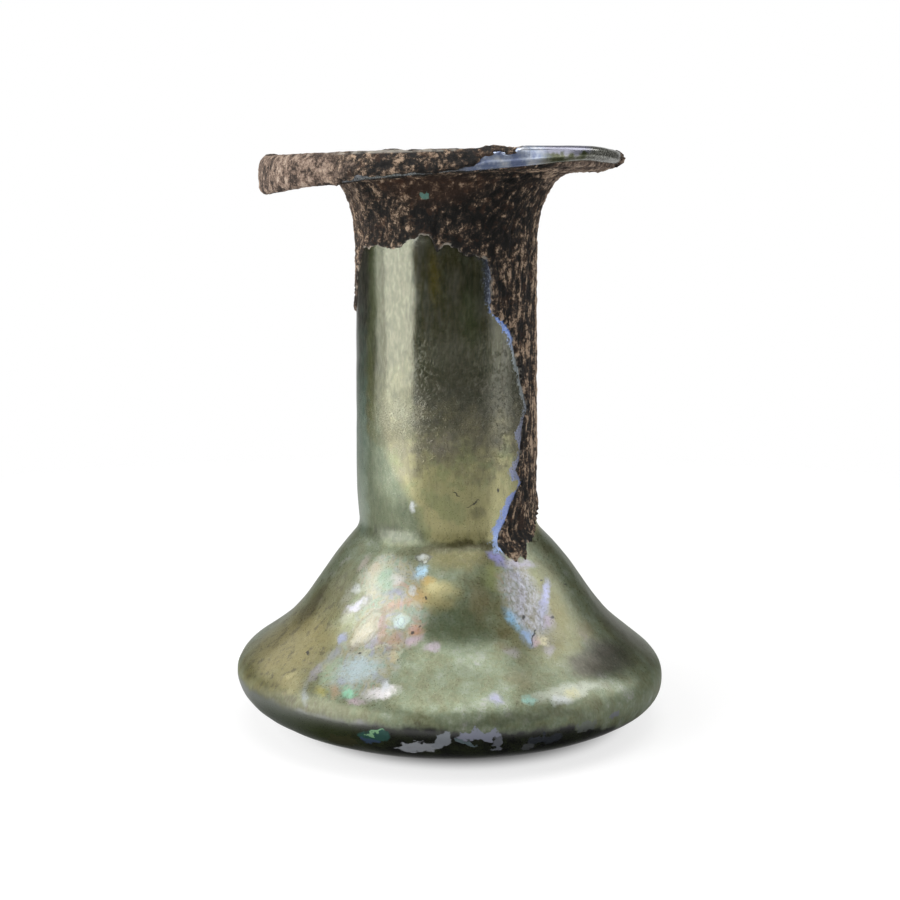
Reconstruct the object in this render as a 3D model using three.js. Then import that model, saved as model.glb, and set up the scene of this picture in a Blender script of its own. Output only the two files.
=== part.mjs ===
// A free-blown glass bottle with a low bell-shaped body, a wide straight neck and a broad folded rim.
// It is one piece of glass, hollow and open at the mouth. Millimetres, +Z up.
// The origin is on the standing plane, at the middle of the body. +X is the bottle's right, and -Y its front.
import * as THREE from "three";
import { mergeVertices } from "three/addons/utils/BufferGeometryUtils.js";

// Heights above the standing plane
const HEIGHT = 90; // top of the rim
const BODY_LEVEL = 8; // widest part of the body
const HOLLOW_LEVEL = 18; // where the body turns from swelling out to drawing in
const SHOULDER_LEVEL = 30.5; // top of the shoulder, just under the crease
const NECK_FOOT_LEVEL = 32.8; // foot of the straight neck
const FLARE_LEVEL = 76; // where the neck begins to open out
const RIM_UNDERSIDE_LEVEL = 86.6; // underside of the rim, close to the neck

// Radii
const STAND_INNER_RADIUS = 15; // the flat ring that the bottle stands on
const STAND_OUTER_RADIUS = 21;
const BODY_RADIUS = 34;
const HOLLOW_RADIUS = 24.6;
const SHOULDER_RADIUS = 15;
const NECK_RADIUS = 14.1;
const NECK_SWELL = 0.15; // the neck is a little fuller at a third of its height
const FLARE_RUN = 5.2; // how far the neck opens before it meets the rim
const RIM_RADIUS = 28;

// Glass thickness, and the rise in the middle of the base
const KICK = 1.6;
const FLOOR_THICKNESS = 3.4;
const BODY_WALL = 2.3;
const NECK_WALL = 2.6;
const RIM_EDGE = 3.8; // height of the folded edge as it is drawn, before it is thinned or thickened
const EDGE_ROUNDING = 1.3;
const LIP_RUN = 5; // the rim's top dips over this width into the mouth
const LIP_DIP = 1.1;

// What the maker's hand left: the neck and rim sit off the body's middle, the rim leans and droops at its
// right end, its folded edge is thick on the left and thin on the right, and the body is fuller high on the
// left and low on the right
const NECK_SHIFT = -0.6;
const RIM_SHIFT = -1.1;
const RIM_LEAN = 0.65;
const RIM_DROOP = 0.5;
const THICK_EDGE = 6.2;
const THIN_EDGE = 2.1;
const THICKEST_EDGE = THREE.MathUtils.degToRad(190);
const EVENLY_THIN = -0.65; // the edge stays thin where the cosine from its thickest place is below this
const HEAVY_END = 0.25; // how much of the thickening is gathered close to the thickest place
const SWELLINGS = [
  { side: -1, level: 12, reach: 3, growth: 0.9 },
  { side: 1, level: 3.6, reach: 2.8, growth: 1 },
];

const TURNS = 64; // facets round the axis
const CURVE_STEPS = 4; // facets along one curve of the profile

// The outer profile from the middle of the base to the rim's underside, as radius and height
function outerProfile() {
  const underBelly = [27.4, 1.4, BODY_RADIUS, 4];
  const upperBelly = [BODY_RADIUS, 11.2, 28.7, 13];
  const shoulder = [22, 20.9, 19.5, 25.5];
  const neckThird = THREE.MathUtils.lerp(NECK_FOOT_LEVEL, FLARE_LEVEL, 0.3);
  const path = new THREE.Path();
  path.moveTo(0, KICK);
  path.bezierCurveTo(6, KICK, 11, 0, STAND_INNER_RADIUS, 0);
  path.lineTo(STAND_OUTER_RADIUS, 0);
  path.bezierCurveTo(...underBelly, BODY_RADIUS, BODY_LEVEL);
  path.bezierCurveTo(...upperBelly, HOLLOW_RADIUS, HOLLOW_LEVEL);
  path.bezierCurveTo(...shoulder, SHOULDER_RADIUS, SHOULDER_LEVEL);
  path.quadraticCurveTo(NECK_RADIUS, 31.6, NECK_RADIUS, NECK_FOOT_LEVEL);
  path.quadraticCurveTo(NECK_RADIUS + 2 * NECK_SWELL, neckThird, NECK_RADIUS, 58);
  path.lineTo(NECK_RADIUS, FLARE_LEVEL);
  path.absellipse(
    NECK_RADIUS + FLARE_RUN,
    FLARE_LEVEL,
    FLARE_RUN,
    RIM_UNDERSIDE_LEVEL - FLARE_LEVEL,
    Math.PI,
    Math.PI / 2,
    true,
  );
  return path.getPoints(CURVE_STEPS);
}

// The folded edge and the dished top of the rim, from the underside to the neck's bore
function rimProfile() {
  const underside = HEIGHT - RIM_EDGE;
  const flat = RIM_RADIUS - EDGE_ROUNDING;
  const mouth = NECK_RADIUS - NECK_WALL;
  const path = new THREE.Path();
  path.moveTo(flat, underside);
  path.absarc(flat, underside + EDGE_ROUNDING, EDGE_ROUNDING, -Math.PI / 2, 0, false);
  path.absarc(flat, HEIGHT - EDGE_ROUNDING, EDGE_ROUNDING, 0, Math.PI / 2, false);
  path.lineTo(mouth + 2 * LIP_RUN, HEIGHT - LIP_DIP / 3);
  path.bezierCurveTo(
    mouth + LIP_RUN / 2,
    HEIGHT - LIP_DIP,
    mouth,
    HEIGHT - 3 * LIP_DIP,
    mouth,
    FLARE_LEVEL + 2,
  );
  return path.getPoints(CURVE_STEPS / 2);
}

// How thick the glass is behind a point of the outer profile
function wallAt(point) {
  const up = THREE.MathUtils.smoothstep(point.y, HOLLOW_LEVEL, NECK_FOOT_LEVEL);
  const wall = THREE.MathUtils.lerp(BODY_WALL, NECK_WALL, up);
  const low = 1 - THREE.MathUtils.smoothstep(point.y, 0, BODY_LEVEL);
  return THREE.MathUtils.lerp(wall, FLOOR_THICKNESS, low);
}

// The inner wall runs inside the outer one, and is listed from the neck down to the floor
function innerProfile(outer) {
  const wall = outer.filter((p) => p.y <= FLARE_LEVEL - 1);
  const inner = wall.map((point, i) => {
    const before = wall[Math.max(i - 1, 0)];
    const after = wall[Math.min(i + 1, wall.length - 1)];
    const along = after.clone().sub(before).normalize();
    const inward = new THREE.Vector2(-along.y, along.x);
    return point.clone().addScaledVector(inward, wallAt(point));
  });
  inner[0].set(0, KICK + FLOOR_THICKNESS);
  return inner.reverse();
}

// Moves a point of the true turned shape to where the hand-made glass has it
function asBlown(point) {
  const radius = Math.hypot(point.x, point.y);
  const angle = Math.atan2(point.y, point.x);
  const share = radius > 0 ? point.x / radius : 0;
  const onNeck = THREE.MathUtils.smoothstep(point.z, SHOULDER_LEVEL - 6, NECK_FOOT_LEVEL + 6);
  const aboveFlare = THREE.MathUtils.smoothstep(point.z, FLARE_LEVEL, RIM_UNDERSIDE_LEVEL);
  const onRim = aboveFlare * THREE.MathUtils.smoothstep(radius, NECK_RADIUS + 2, RIM_RADIUS);

  const toThickest = Math.cos(angle - THICKEST_EDGE);
  const folded = Math.max(0, THREE.MathUtils.inverseLerp(EVENLY_THIN, 1, toThickest));
  const edge = THREE.MathUtils.lerp(
    THIN_EDGE,
    THICK_EDGE,
    THREE.MathUtils.lerp(folded, folded ** 8, HEAVY_END),
  );
  const lean = RIM_LEAN * share - RIM_DROOP * THREE.MathUtils.smoothstep(share, 0.8, 1);
  const depth = (HEIGHT - point.z) * THREE.MathUtils.lerp(1, edge / RIM_EDGE, onRim);
  let grown = 1;
  for (const { side, level, reach, growth } of SWELLINGS) {
    const near = Math.exp(-(((point.z - level) / reach) ** 2));
    grown += radius > STAND_OUTER_RADIUS ? (growth * near * Math.max(0, side * share)) / radius : 0;
  }

  return new THREE.Vector3(
    point.x * grown + NECK_SHIFT * onNeck + RIM_SHIFT * onRim,
    point.y * grown,
    point.z < FLARE_LEVEL ? point.z : HEIGHT - depth + lean * onRim,
  );
}

// The whole bottle: the closed profile turned round the axis, then moved as the blown glass is
function bottleGeometry() {
  const outer = outerProfile();
  const profile = [...outer, ...rimProfile(), ...innerProfile(outer)];
  const turned = new THREE.LatheGeometry(profile, TURNS).rotateX(Math.PI / 2);
  turned.deleteAttribute("normal");
  turned.deleteAttribute("uv");
  const places = turned.getAttribute("position");
  for (let i = 0; i < places.count; i++) {
    const moved = asBlown(new THREE.Vector3().fromBufferAttribute(places, i));
    places.setXYZ(i, moved.x, moved.y, moved.z);
  }
  const closed = mergeVertices(turned, 1e-3);
  closed.computeVertexNormals();
  return closed;
}

const glass = new THREE.MeshStandardMaterial({ color: 0x8f9670, roughness: 0.3, metalness: 0.1 });
const bottle = new THREE.Mesh(bottleGeometry(), glass);
bottle.name = "bottle";

const part = new THREE.Group();
part.add(bottle);

export default part;
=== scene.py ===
import math

import bmesh
import bpy
from mathutils import Color, Matrix, Vector, noise
from mathutils.geometry import interpolate_bezier


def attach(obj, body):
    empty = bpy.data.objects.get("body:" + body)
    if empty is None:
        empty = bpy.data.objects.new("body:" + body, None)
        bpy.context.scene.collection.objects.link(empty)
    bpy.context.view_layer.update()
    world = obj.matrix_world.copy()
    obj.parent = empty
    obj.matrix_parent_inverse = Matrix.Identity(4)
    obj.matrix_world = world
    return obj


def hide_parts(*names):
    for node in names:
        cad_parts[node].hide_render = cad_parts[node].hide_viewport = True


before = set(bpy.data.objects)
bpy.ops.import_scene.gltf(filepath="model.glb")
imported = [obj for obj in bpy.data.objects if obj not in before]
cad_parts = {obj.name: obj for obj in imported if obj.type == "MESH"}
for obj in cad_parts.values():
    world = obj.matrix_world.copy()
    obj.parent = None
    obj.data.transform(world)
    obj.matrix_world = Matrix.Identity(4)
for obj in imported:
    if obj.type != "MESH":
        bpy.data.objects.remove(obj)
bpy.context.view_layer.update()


# The bottle is one piece of free-blown glass: a low bell body, a wide neck, a flared mouth and a rim
# folded back on itself. Sizes here are millimetres, as radius and height, and follow the solid's.
MM = 0.001
RIM_TOP = 90.0
RIM_RADIUS = 28.0
RIM_EDGE = 3.8  # height of the folded edge before it is thinned or thickened
RIM_UNDERSIDE = 86.6
FLARE_LEVEL = 76.0
NECK_RADIUS = 14.1
NECK_FOOT = 32.8
SHOULDER_TOP = 30.5
HOLLOW_LEVEL = 18.0
BODY_LEVEL = 8.0
BODY_RADIUS = 34.0
STAND_RADIUS = 21.0
FLOOR_THICKNESS = 3.4
BODY_WALL = 2.3
NECK_WALL = 2.6
KICK = 1.6  # rise in the middle of the base

# Where one curve of the outline meets the next, from the base to the bore
STAND_INNER = (15, 0)
STAND_OUTER = (STAND_RADIUS, 0)
BELLY = (BODY_RADIUS, BODY_LEVEL)
HOLLOW = (24.6, HOLLOW_LEVEL)
SHOULDER = (15, SHOULDER_TOP)
NECK_START = (NECK_RADIUS, NECK_FOOT)
NECK_MIDDLE = (NECK_RADIUS, 58)
NECK_END = (NECK_RADIUS, FLARE_LEVEL)
FLARE_END = (19.3, RIM_UNDERSIDE)
EDGE_BOTTOM = (26.7, 86.2)
EDGE_LOW = (RIM_RADIUS, 87.5)
EDGE_HIGH = (RIM_RADIUS, 88.7)
EDGE_TOP = (26.7, RIM_TOP)
LIP_START = (21.5, 89.6)
LIP_END = (11.5, 78)

# Bezier curves, each from one meeting point to the next
BODY_CURVES = (
    ((0, KICK), (6, KICK), (11, 0), STAND_INNER),
    (STAND_INNER, (17, 0), (19, 0), STAND_OUTER),
    (STAND_OUTER, (27.4, 1.4), (BODY_RADIUS, 4), BELLY),
    (BELLY, (BODY_RADIUS, 11.2), (28.7, 13), HOLLOW),
    (HOLLOW, (22, 20.9), (19.5, 25.5), SHOULDER),
)
NECK_CURVES = (
    (SHOULDER, (14.4, 31.2), (NECK_RADIUS, 32), NECK_START),
    (NECK_START, (14.3, 41.4), (14.3, 49.8), NECK_MIDDLE),
    (NECK_MIDDLE, (NECK_RADIUS, 64), (NECK_RADIUS, 70), NECK_END),
)
RIM_CURVES = (
    (NECK_END, (NECK_RADIUS, 81.9), (16.4, RIM_UNDERSIDE), FLARE_END),
    (FLARE_END, (22, 86.4), (24, 86.2), EDGE_BOTTOM),
    (EDGE_BOTTOM, (27.4, 86.2), (RIM_RADIUS, 86.8), EDGE_LOW),
    (EDGE_LOW, (RIM_RADIUS, 87.9), (RIM_RADIUS, 88.3), EDGE_HIGH),
    (EDGE_HIGH, (RIM_RADIUS, 89.4), (27.4, RIM_TOP), EDGE_TOP),
    (EDGE_TOP, (25, RIM_TOP), (23, 89.8), LIP_START),
)
LIP_CURVES = ((LIP_START, (14, 88.9), (11.5, 86.7), LIP_END),)


def smooth(low, high, value):
    """0 at low, 1 at high and smooth between; low may be the larger."""
    share = min(max((value - low) / (high - low), 0.0), 1.0)
    return share * share * (3 - 2 * share)


def sampled(curves, spacing):
    """Points along a run of Bezier curves, about one spacing apart."""
    points = []
    for start, leave, arrive, end in curves:
        length = (Vector(leave) - Vector(start)).length + (Vector(arrive) - Vector(leave)).length
        length += (Vector(end) - Vector(arrive)).length
        steps = max(3, round(length / spacing))
        run = interpolate_bezier(*(Vector((r, 0, z)) for r, z in (start, leave, arrive, end)), steps + 1)
        points += run[1:] if points else run
    return points


def wall_behind(point):
    """How thick the glass is behind a point of the outline."""
    wall = BODY_WALL + (NECK_WALL - BODY_WALL) * smooth(HOLLOW_LEVEL, NECK_FOOT, point.z)
    return wall + (FLOOR_THICKNESS - wall) * (1 - smooth(0, BODY_LEVEL, point.z))


def inner_run(outer):
    """The inside of the wall, from the bore down to the floor."""
    inner = [Vector((0, 0, KICK + FLOOR_THICKNESS))]
    for before, point, after in zip(outer, outer[1:], outer[2:]):
        along = (after - before).normalized()
        inner.append(point + Vector((-along.z, 0, along.x)) * wall_behind(point))
    return inner[::-1]


SECTORS = 20
SECTOR_STEPS = 16
SEAM = 1e-4


def spun(points, wall=None):
    """A mesh turned round Z from a run of points, with each point's wall number kept on its ring.

    One sector is turned first and then repeated, which is much quicker than one long turn.
    """
    bm = bmesh.new()
    wall_layer = bm.verts.layers.float.new("wall")
    line = [bm.verts.new(p) for p in points]
    for i, vert in enumerate(line):
        vert[wall_layer] = wall[i] if wall else 0.0
    edges = [bm.edges.new(pair) for pair in zip(line, line[1:])]
    sector = math.tau / SECTORS
    axis = {"cent": (0, 0, 0), "axis": (0, 0, 1)}
    bmesh.ops.spin(bm, geom=line + edges, angle=sector, steps=SECTOR_STEPS, **axis)
    whole = bm.verts[:] + bm.edges[:] + bm.faces[:]
    bmesh.ops.spin(bm, geom=whole, angle=math.tau - sector, steps=SECTORS - 1, use_duplicate=True, **axis)
    bmesh.ops.remove_doubles(bm, verts=bm.verts, dist=SEAM)
    bmesh.ops.recalc_face_normals(bm, faces=bm.faces)
    return bm


SWELLINGS = ((-1, 12.0, 3.0, 0.9), (1, 3.6, 2.8, 1.0))  # side, level, reach, growth
THICKEST_EDGE = math.radians(190)
THICK_EDGE = 6.2
THIN_EDGE = 2.1
EVENLY_THIN = -0.65  # the edge stays thin where the cosine from its thickest place is below this
HEAVY_END = 0.25  # how much of the thickening is gathered close to the thickest place
HEAVY_POWER = 8
RIM_LEAN = 0.65
RIM_DROOP = 0.5
DROOP_START = 0.8  # the right end droops from this share of the radius outwards
NECK_SHIFT = -0.6
RIM_SHIFT = -1.1
NECK_EASE = 6.0  # the neck's shift fades in over this height below and above the crease
RIM_START = NECK_RADIUS + 2


def as_blown(place):
    """Moves a point of the turned shape to where the hand-made glass has it, as the solid does."""
    radius = math.hypot(place.x, place.y)
    angle = math.atan2(place.y, place.x)
    share = place.x / radius if radius > 0 else 0.0
    on_neck = smooth(SHOULDER_TOP - NECK_EASE, NECK_FOOT + NECK_EASE, place.z)
    on_rim = smooth(FLARE_LEVEL, RIM_UNDERSIDE, place.z) * smooth(RIM_START, RIM_RADIUS, radius)
    folded = max(0.0, (math.cos(angle - THICKEST_EDGE) - EVENLY_THIN) / (1 - EVENLY_THIN))
    folded += (folded**HEAVY_POWER - folded) * HEAVY_END
    edge = THIN_EDGE + (THICK_EDGE - THIN_EDGE) * folded
    lean = RIM_LEAN * share - RIM_DROOP * smooth(DROOP_START, 1, share)
    depth = (RIM_TOP - place.z) * (1 + (edge / RIM_EDGE - 1) * on_rim)
    grown = 1.0
    if radius > STAND_RADIUS:
        for side, level, reach, growth in SWELLINGS:
            near = math.exp(-(((place.z - level) / reach) ** 2))
            grown += growth * near * max(0.0, side * share) / radius
    return Vector((
        place.x * grown + NECK_SHIFT * on_neck + RIM_SHIFT * on_rim,
        place.y * grown,
        place.z if place.z < FLARE_LEVEL else RIM_TOP - depth + lean * on_rim,
    ))


def along(points, value):
    """Straight-line reading of a listed border: points are (value, reading) in rising order."""
    if value <= points[0][0]:
        return points[0][1]
    for (v0, r0), (v1, r1) in zip(points, points[1:]):
        if value <= v1:
            return r0 + (r1 - r0) * (value - v0) / (v1 - v0)
    return points[-1][1]


# Where the burial crust ends, in degrees round the axis (-90 is the front) and millimetres of height
CAP_BORDER = (
    (-180, 65.5), (-174, 66), (-168, 69.4), (-161, 72.6), (-152, 75.2), (-140, 75.6), (-126, 75.5),
    (-114, 76.3), (-105, 77.7), (-99, 77.3), (-95.5, 75.3), (-91, 76.2), (-84, 75.7), (-78, 74.5),
    (-66, 74.4), (-60, 73), (30, 66), (60, 69), (90, 72), (120, 68), (150, 70), (180, 66),
)
STRIP_LEFT = (
    (28, -58), (30.7, -61), (34, -51), (36.3, -46), (38.4, -41), (39.5, -36), (41.5, -43), (43.3, -38.6),
    (48, -36), (51.3, -30), (53.7, -32.5), (56, -38), (59.4, -42), (63.8, -49), (65.4, -57), (66.3, -61),
    (72, -62), (74, -64),
)
STRIP_RIGHT = ((28, -40), (29.8, -38), (31.1, -23), (32, -16), (34, 2), (45, 16), (60, 26), (76, 60))
STRIP_FOOT = ((-62, 30.6), (-57, 28.9), (-53, 28.1), (-49, 28.9), (-46, 28.3), (-42, 29.2), (-38, 30))
LOWEST_CRUST = 26.8
RAGGED = ((0.45, 0.9), (1.3, 0.5), (3.1, 0.25))  # how fine, and how far the border strays
RAGGEDNESS = 0.55

# The bare stretch of the rim's edge: the radii where the edge begins, its two ends in degrees, and how its
# left end slants with height. A bare line runs along the edge's foot, and fades out at both its ends.
EDGE_FACE = (25.6, 27.2)
BARE_EDGE = (-76, -8)
BARE_LEVEL = 88.0
BARE_SLANT = 6.5
BARE_STRAY = 9.0
BARE_LINE = 86.55
LINE_LEFT = (-140, -118)
LINE_RIGHT = (-10, 10)
COVERED = 12.0
DEEP_CRUST = 4.0

# The crust on the rim's top, which is thinner and patchy, and worn off towards the bore
TOP_LEVEL = 88.6
TOP_RADIUS = 27.0
TOP_DEPTH = 1.8
TOP_PATCHES = 3.4
BORE_WEAR = 4.0
BORE_RADII = (20, 13)

CRUST_SUNK = 0.42


def sunk(depth):
    """How far the crust is sunk into the glass, in millimetres."""
    return CRUST_SUNK * smooth(0.3, 1.8, depth)


def crust_depth(place):
    """Millimetres inside the crust's border, below zero where the glass is bare."""
    angle = math.degrees(math.atan2(place.y, place.x))
    radius = math.hypot(place.x, place.y)
    per_degree = math.radians(radius)
    ragged = sum(reach * noise.noise(place * fineness) for fineness, reach in RAGGED)
    cap = place.z - along(CAP_BORDER, angle)
    strip = min(
        (angle - along(STRIP_LEFT, place.z)) * per_degree,
        (along(STRIP_RIGHT, place.z) - angle) * per_degree,
        place.z - along(STRIP_FOOT, angle),
    )
    depth = max(cap, strip)
    on_edge = smooth(*EDGE_FACE, radius)
    if on_edge > 0:
        slant = BARE_SLANT * (place.z - BARE_LEVEL) + BARE_STRAY * noise.noise(place * 0.5)
        bare = min(angle - BARE_EDGE[0] - slant, BARE_EDGE[1] - angle) * per_degree
        line = place.z - BARE_LINE + COVERED * (1 - smooth(*LINE_LEFT, angle))
        line += COVERED * smooth(*LINE_RIGHT, angle)
        depth = depth * (1 - on_edge) + on_edge * min(DEEP_CRUST, -bare, line)
    if place.z > TOP_LEVEL and radius < TOP_RADIUS:
        depth = TOP_DEPTH + TOP_PATCHES * noise.noise(place * 0.16)
        depth -= BORE_WEAR * smooth(*BORE_RADII, radius)
    return depth + RAGGEDNESS * ragged


class Value:
    """A socket of a node tree. Sums and products of it add Math nodes."""

    def __init__(self, nodes, socket):
        self.nodes = nodes
        self.socket = socket

    def math(self, operation, first, second=0.0):
        return self.nodes.node("ShaderNodeMath", {"operation": operation}, {0: first, 1: second})

    def __add__(self, other):
        return self.math("ADD", self, other)

    def __sub__(self, other):
        return self.math("SUBTRACT", self, other)

    def __rsub__(self, other):
        return self.math("SUBTRACT", other, self)

    def __mul__(self, other):
        return self.math("MULTIPLY", self, other)

    __radd__ = __add__
    __rmul__ = __mul__


class Nodes:
    """The nodes of a material or of the surround, and the few patterns made with them."""

    def __init__(self, tree):
        self.tree = tree

    def feed(self, socket, value):
        if isinstance(value, Value):
            self.tree.links.new(value.socket, socket)
        else:
            socket.default_value = value

    def node(self, kind, settings=None, inputs=None, out=0):
        made = self.tree.nodes.new(kind)
        for name, value in (settings or {}).items():
            if name == "stops":
                ramp = made.color_ramp.elements
                while len(ramp) < len(value):
                    ramp.new(0.5)
                for element, (place, colour) in zip(ramp, value):
                    element.position = place
                    element.color = colour
            else:
                setattr(made, name, value)
        for name, value in (inputs or {}).items():
            self.feed(made.inputs[name], value)
        return Value(self, made.outputs[out])

    def place(self, scale=(1, 1, 1), move=(0, 0, 0)):
        """Object coordinates in millimetres, stretched and moved."""
        spot = self.node("ShaderNodeTexCoord", out=3)
        grown = [s / MM for s in scale]
        return self.node("ShaderNodeMapping", inputs={"Vector": spot, "Location": move, "Scale": grown})

    def astray(self, scale, reach):
        """Object coordinates in millimetres that wander by up to about that reach."""
        sockets = {"Vector": self.place(), "Scale": scale, "Detail": 3.0}
        drift = self.node("ShaderNodeTexNoise", inputs=sockets, out=1)
        drift = self.node("ShaderNodeVectorMath", {"operation": "SUBTRACT"}, {0: drift, 1: (0.5, 0.5, 0.5)})
        drift = self.node("ShaderNodeVectorMath", {"operation": "SCALE"}, {0: drift, "Scale": 2 * reach})
        return self.node("ShaderNodeVectorMath", {"operation": "ADD"}, {0: self.place(), 1: drift})

    def noise(self, scale, detail=3.0, rough=0.55, stretch=(1, 1, 1), move=(0, 0, 0), warp=0.0):
        sockets = {
            "Vector": self.place(stretch, move),
            "Scale": scale,
            "Detail": detail,
            "Roughness": rough,
            "Distortion": warp,
        }
        return self.node("ShaderNodeTexNoise", inputs=sockets)

    def cells(self, scale):
        return self.node("ShaderNodeTexVoronoi", inputs={"Vector": self.place(), "Scale": scale})

    def rise(self, value, low, high):
        """0 at low, 1 at high and smooth between; low may be the larger."""
        sockets = {"Value": value, "From Min": low, "From Max": high}
        return self.node("ShaderNodeMapRange", {"interpolation_type": "SMOOTHSTEP"}, sockets)

    def mix(self, share, under, over):
        return self.node("ShaderNodeMix", {"data_type": "RGBA"}, {0: share, 6: under, 7: over}, out=2)

    def ramp(self, value, *stops):
        return self.node("ShaderNodeValToRGB", {"stops": stops}, {"Fac": value})

    def attribute(self, name):
        return self.node("ShaderNodeAttribute", {"attribute_name": name}, out=2)

    def apart(self, vector):
        """The x, y and z of a vector."""
        return [self.node("ShaderNodeSeparateXYZ", inputs={"Vector": vector}, out=i) for i in range(3)]

    def bump(self, height, strength, depth):
        """A normal from a height of 0 to 1 that stands for depth in millimetres."""
        sockets = {"Height": height, "Strength": strength, "Distance": depth * MM}
        return self.node("ShaderNodeBump", inputs=sockets)


class Finish(Nodes):
    """A material with one Principled shader, whose plain values are given by name."""

    def __init__(self, name, **plain):
        self.material = bpy.data.materials.new(name)
        self.material.use_nodes = True
        super().__init__(self.material.node_tree)
        self.sockets = self.tree.nodes["Principled BSDF"].inputs
        for socket, value in plain.items():
            self.sockets[socket.replace("_", " ")].default_value = value

    def wear(self, **changing):
        """Feeds what changes over the surface."""
        for socket, value in changing.items():
            self.feed(self.sockets[socket.replace("_", " ")], value)
        return self.material


def tone(red, green, blue):
    """A colour as it is seen, 0 to 255, for the shaders."""
    return (*Color((red / 255, green / 255, blue / 255)).from_srgb_to_scene_linear(), 1.0)


glass_outline = sampled(BODY_CURVES[2:] + NECK_CURVES + RIM_CURVES[:4], 0.5)


def laid_on_glass(angle, height):
    """The place on the blown glass that many degrees round at that height, and how it lies there."""
    below, above = next(pair for pair in zip(glass_outline, glass_outline[1:]) if pair[1].z >= height)
    turn = math.radians(angle)
    across = Vector((-math.sin(turn), math.cos(turn), 0))
    outward = Vector((math.cos(turn), math.sin(turn), 0))
    run = above - below
    upward = (outward * run.x + Vector((0, 0, run.z))).normalized()
    place = as_blown(outward * above.x + Vector((0, 0, height)))
    return place, Matrix((across, upward, across.cross(upward))).transposed()


SPOT_REACH = 1.5


def nearness(finish, where, angle, height, size, tilt=0):
    """1 at the middle of an oval spot on the glass, 1/3 at its edge and 0 from 1.5 half sizes outwards.

    The oval's first half size is level, or turned up on its right by the tilt in degrees.
    """
    place, lie = laid_on_glass(angle, height)
    turned = lie @ Matrix.Rotation(math.radians(tilt), 3, "Z")
    sockets = {
        "Vector": where,
        "Location": place,
        "Rotation": turned.to_euler(),
        "Scale": [SPOT_REACH * s for s in (*size, 2 * max(size))],
    }
    gap = finish.node("ShaderNodeMapping", {"vector_type": "TEXTURE"}, sockets)
    return finish.node("ShaderNodeTexGradient", {"gradient_type": "SPHERICAL"}, {"Vector": gap}, out=1)


MINT = tone(128, 168, 138)
LAVENDER = tone(160, 154, 178)
ROSE = tone(176, 138, 108)
CREAM = tone(180, 170, 124)
SILVER = tone(150, 160, 150)
PALE = tone(212, 218, 218)
SKY = tone(160, 216, 255)
KHAKI = tone(146, 138, 86)
EARTH = tone(156, 144, 86)
UMBER = tone(66, 58, 34)
DEEP = tone(46, 50, 30)
SOOT = tone(12, 12, 9)

RIM_SLOPE = 0.023
RAMP_SCALE = 0.01  # a colour ramp that follows the height covers 100 mm

# Broad changes of the film's colour, and painted highlights and shade where marked: degrees round, height,
# half size, how strongly, and the colour
TINTED_AREAS = (
    (-152, 15.0, (14.0, 10.0), 0.9, EARTH),
    (-150, 23.0, (5.0, 5.0), 0.6, tone(138, 134, 96)),
    (-160, 19.5, (3.0, 4.0), 0.6, UMBER),
    (-52, 21.0, (8.0, 9.0), 0.75, KHAKI),
    (-32, 13.8, (8.5, 3.8), 0.95, tone(38, 42, 24)),
    (-8, 15.0, (6.0, 8.0), 0.6, tone(60, 62, 40)),
    (-44, 13.9, (5.0, 2.4), 0.85, tone(64, 58, 42)),
    (-32, 15.0, (3.0, 1.8), 0.75, tone(48, 44, 30)),
    (-34, 17.4, (2.8, 2.2), 0.6, tone(112, 100, 52)),
    # Painted shade: darker green over the front hollow, standing in for the dark reflection there.
    (-88, 19.8, (5.2, 4.6), 0.5, tone(80, 100, 66)),
    (-97, 24.5, (3.6, 2.8), 0.75, tone(214, 202, 140)),
    (-78, 23.2, (1.8, 3.4), 0.6, tone(118, 106, 60)),
    # Painted shade: an olive band along the crease at the neck's foot.
    (-80, 29.2, (9.0, 2.0), 0.85, tone(112, 106, 44)),
    (-68, 26.0, (2.6, 2.4), 0.6, tone(148, 160, 92)),
    # Painted highlight: a pale band round the belly's turn, where the top light is reflected.
    (-56, 11.7, (8.0, 1.3), 0.7, tone(194, 200, 186)),
    (-69, 13.8, (3.0, 1.8), 0.5, tone(120, 112, 72)),
    # Painted shade: a dark line under the pale band, standing in for a dark reflection.
    (-70, 9.7, (14.0, 1.0), 0.6, tone(62, 72, 40)),
    # Painted shade: these two darker tints tone down a softbox's reflection on the lower left of the belly.
    (-132, 8.8, (12.0, 1.8), 0.85, tone(46, 50, 26)),
    (-127, 10.0, (12.0, 1.4), 0.75, tone(86, 88, 52)),
    (110, 16.0, (12.0, 8.0), 0.6, EARTH),
    (35, 14.0, (10.0, 6.0), 0.5, KHAKI),
    (160, 20.0, (6.0, 6.0), 0.6, DEEP),
)
# Where the film is pearly: degrees round, height, half size and how strongly
PEARLY_AREAS = (
    (-120, 14.6, (7.0, 5.5), 1.0),
    (-114, 21.0, (6.4, 6.0), 1.0),
    (-121, 26.4, (6.0, 4.2), 0.8),
    (-57, 23.6, (4.4, 7.0), 1.0),
    (60, 17.0, (8.0, 5.0), 0.6),
    (130, 22.0, (7.0, 7.0), 0.6),
)
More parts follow.
